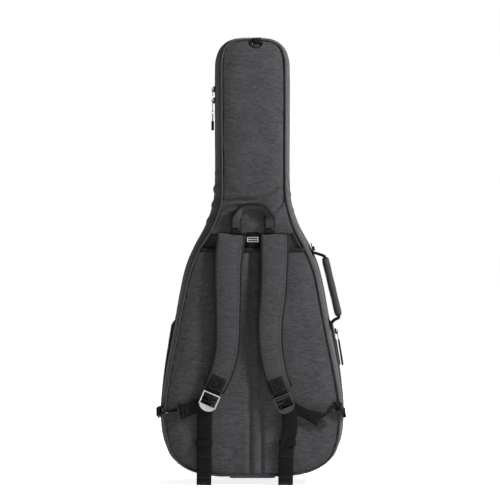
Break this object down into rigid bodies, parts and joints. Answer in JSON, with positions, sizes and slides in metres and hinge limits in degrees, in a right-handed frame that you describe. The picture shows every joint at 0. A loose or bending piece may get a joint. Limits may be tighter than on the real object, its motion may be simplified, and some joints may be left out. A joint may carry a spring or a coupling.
{
  "type": "padded guitar gig bag",
  "caption": "Padded gig bag for an acoustic guitar, with a hinged zip-round lid, shoulder straps, haul loop, side handle, front pockets and a neck cradle inside",
  "frame": {"origin": "centre of the wear strip under the base, on the surface the bag stands on", "axes": "+Z from the base to the head along the neck, -Y out of the back with the shoulder straps, +Y out of the front lid with the pockets, +X towards the side handle"},
  "size_m": [0.4889, 0.2259, 1.155],
  "materials": {
    "weave": "charcoal melange weave",
    "foam": "closed-cell foam",
    "plush": "plush",
    "webbing": "ribbed webbing",
    "piping": "cord piping",
    "zip": "coil zip",
    "patch": "coated wear strip",
    "gunmetal": "dark plated",
    "satin": "satin nickel",
    "moulded": "satin black"
  },
  "bodies": {
    "tray": {"back_fabric": "weave", "back_foam": "foam", "tray_gusset_fabric": "weave", "tray_gusset_foam": "foam", "tray_lining": "plush", "back_piping": "piping", "tray_zip": "zip", "hinge_tape": "webbing", "neck_panel": "weave", "stow_pocket": "weave", "spine_webbing": "webbing", "spine_slide": "satin", "base_patch": "patch", "neck_cradle": "foam", "end_pads": "foam", "hang_tab": "webbing", "sewn_anchors": "webbing", "left_strap": "weave", "right_strap": "weave", "strap_stubs": "webbing", "left_web": "webbing", "right_web": "webbing", "ring_tabs": "webbing", "hook_eyes": "gunmetal", "keepers": "webbing"},
    "lid": {"front_fabric": "weave", "front_foam": "foam", "lid_gusset_fabric": "weave", "lid_gusset_foam": "foam", "lid_lining": "plush", "lid_zip": "zip", "front_piping": "piping", "pocket_base": "weave"},
    "pocket_flap": {"pocket_flap": "weave"},
    "outer_flap": {"outer_flap": "weave"},
    "haul_loop": {"haul_loop": "webbing"},
    "hang_ring": {"hang_ring": "gunmetal"},
    "side_handle": {"side_handle": "webbing", "handle_grip": "weave"},
    "left_buckle": {"left_buckle": "satin", "left_wraps": "webbing"},
    "right_buckle": {"right_buckle": "satin", "right_wraps": "webbing"},
    "left_ring": {"left_ring": "gunmetal"},
    "right_ring": {"right_ring": "gunmetal"},
    "left_hook": {"left_hook": "gunmetal"},
    "right_hook": {"right_hook": "gunmetal"},
    "left_gate": {"left_gate": "gunmetal"},
    "right_gate": {"right_gate": "gunmetal"},
    "left_neck_flap": {"left_neck_flap": "webbing"},
    "right_neck_flap": {"right_neck_flap": "webbing"},
    "upper_slider": {"upper_slider": "gunmetal"},
    "upper_pull": {"upper_pull": "gunmetal"},
    "lower_slider": {"lower_slider": "gunmetal"},
    "lower_pull": {"lower_pull": "gunmetal"},
    "pull_cord": {"pull_cord": "moulded"},
    "pocket_slider_a": {"pocket_slider_a": "gunmetal"},
    "pocket_slider_b": {"pocket_slider_b": "gunmetal"},
    "pocket_pull_a": {"pocket_pull_a": "moulded"},
    "pocket_pull_b": {"pocket_pull_b": "moulded"}
  },
  "joints": [
    {"name": "lid_hinge", "type": "hinge", "parent": "tray", "child": "lid", "pos_m": [-0.117, 0.037, 1], "axis": [0.15, 0, 0.9887], "range_deg": [0, 135]},
    {"name": "pocket_fold", "type": "hinge", "parent": "lid", "child": "pocket_flap", "pos_m": [0, 0.151, 0.16], "axis": [-1, 0, 0], "range_deg": [0, 70]},
    {"name": "outer_fold", "type": "hinge", "parent": "pocket_flap", "child": "outer_flap", "pos_m": [0, 0.151, 0.168], "axis": [-1, 0, 0], "range_deg": [0, 60]},
    {"name": "haul_loop_fold", "type": "hinge", "parent": "tray", "child": "haul_loop", "pos_m": [0.002, -0.0544, 0.645], "axis": [1, 0, 0], "range_deg": [0, 90]},
    {"name": "hang_ring_swing", "type": "hinge", "parent": "tray", "child": "hang_ring", "pos_m": [0.012, -0.034, 1.122], "axis": [-1, 0, 0], "range_deg": [0, 140]},
    {"name": "side_handle_swing", "type": "hinge", "parent": "tray", "child": "side_handle", "pos_m": [0.16029, -0.001, 0.58393], "axis": [-0.2317, 0, 0.9728], "range_deg": [-32, 32]},
    {"name": "left_buckle_tilt", "type": "hinge", "parent": "tray", "child": "left_buckle", "pos_m": [-0.10287, -0.0706, 0.22011], "axis": [-0.9157, 0, 0.4019], "range_deg": [0, 30]},
    {"name": "left_ring_swing", "type": "hinge", "parent": "tray", "child": "left_ring", "pos_m": [-0.241, -0.057, 0.173], "axis": [0, 0, 1], "range_deg": [-6, 6]},
    {"name": "left_hook_swivel", "type": "hinge", "parent": "tray", "child": "left_hook", "pos_m": [-0.2263, -0.057, 0.173], "axis": [1, 0, 0], "range_deg": [-10, 10]},
    {"name": "left_gate_snap", "type": "hinge", "parent": "left_hook", "child": "left_gate", "pos_m": [-0.21924, -0.05375, 0.17488], "axis": [0, 0.5, -0.866], "range_deg": [-18, 0], "stiffness_Nm_per_rad": 0.02},
    {"name": "right_buckle_tilt", "type": "hinge", "parent": "tray", "child": "right_buckle", "pos_m": [0.07469, -0.0706, 0.21424], "axis": [-0.9239, 0, -0.3827], "range_deg": [0, 30]},
    {"name": "right_ring_swing", "type": "hinge", "parent": "tray", "child": "right_ring", "pos_m": [0.217, -0.057, 0.187], "axis": [0.6018, 0, -0.7986], "range_deg": [-6, 3]},
    {"name": "right_hook_swivel", "type": "hinge", "parent": "tray", "child": "right_hook", "pos_m": [0.2056, -0.057, 0.1784], "axis": [-0.7986, 0, -0.6018], "range_deg": [-10, 10]},
    {"name": "right_gate_snap", "type": "hinge", "parent": "right_hook", "child": "right_gate", "pos_m": [0.20109, -0.05375, 0.17265], "axis": [-0.5212, 0.5, 0.6916], "range_deg": [-18, 0], "stiffness_Nm_per_rad": 0.02},
    {"name": "left_neck_flap_fold", "type": "hinge", "parent": "tray", "child": "left_neck_flap", "pos_m": [-0.0625, 0.0234, 0.7], "axis": [0, 0, 1], "range_deg": [0, 85]},
    {"name": "right_neck_flap_fold", "type": "hinge", "parent": "tray", "child": "right_neck_flap", "pos_m": [0.0625, 0.0234, 0.7], "axis": [0, 0, -1], "range_deg": [0, 85]},
    {"name": "upper_slider_travel", "type": "slide", "parent": "tray", "child": "upper_slider", "axis": [0, 0, 1], "range_m": [0, 0.03]},
    {"name": "upper_pull_swing", "type": "hinge", "parent": "upper_slider", "child": "upper_pull", "pos_m": [-0.1034, 0.037, 1.007], "axis": [0, -1, 0], "range_deg": [-150, 0]},
    {"name": "lower_slider_travel", "type": "slide", "parent": "tray", "child": "lower_slider", "axis": [0, 0, -1], "range_m": [0, 0.13]},
    {"name": "lower_pull_swing", "type": "hinge", "parent": "lower_slider", "child": "lower_pull", "pos_m": [-0.1034, 0.037, 0.978], "axis": [0, -1, 0], "range_deg": [-150, 0]},
    {"name": "pull_cord_swing", "type": "hinge", "parent": "lower_pull", "child": "pull_cord", "pos_m": [-0.1034, 0.037, 0.952], "axis": [0, -1, 0], "range_deg": [-35, 0]},
    {"name": "pocket_slider_a_travel", "type": "slide", "parent": "lid", "child": "pocket_slider_a", "axis": [0.1566, 0, -0.9877], "range_m": [0, 0.075]},
    {"name": "pocket_slider_b_travel", "type": "slide", "parent": "pocket_flap", "child": "pocket_slider_b", "axis": [0.1566, 0, -0.9877], "range_m": [0, 0.075]},
    {"name": "pocket_pull_a_swing", "type": "hinge", "parent": "pocket_slider_a", "child": "pocket_pull_a", "pos_m": [0.22513, 0.1273, 0.37288], "axis": [0, 1, 0], "range_deg": [-120, 0]},
    {"name": "pocket_pull_b_swing", "type": "hinge", "parent": "pocket_slider_b", "child": "pocket_pull_b", "pos_m": [0.21806, 0.1456, 0.37288], "axis": [0, 1, 0], "range_deg": [-120, 0]}
  ]
}
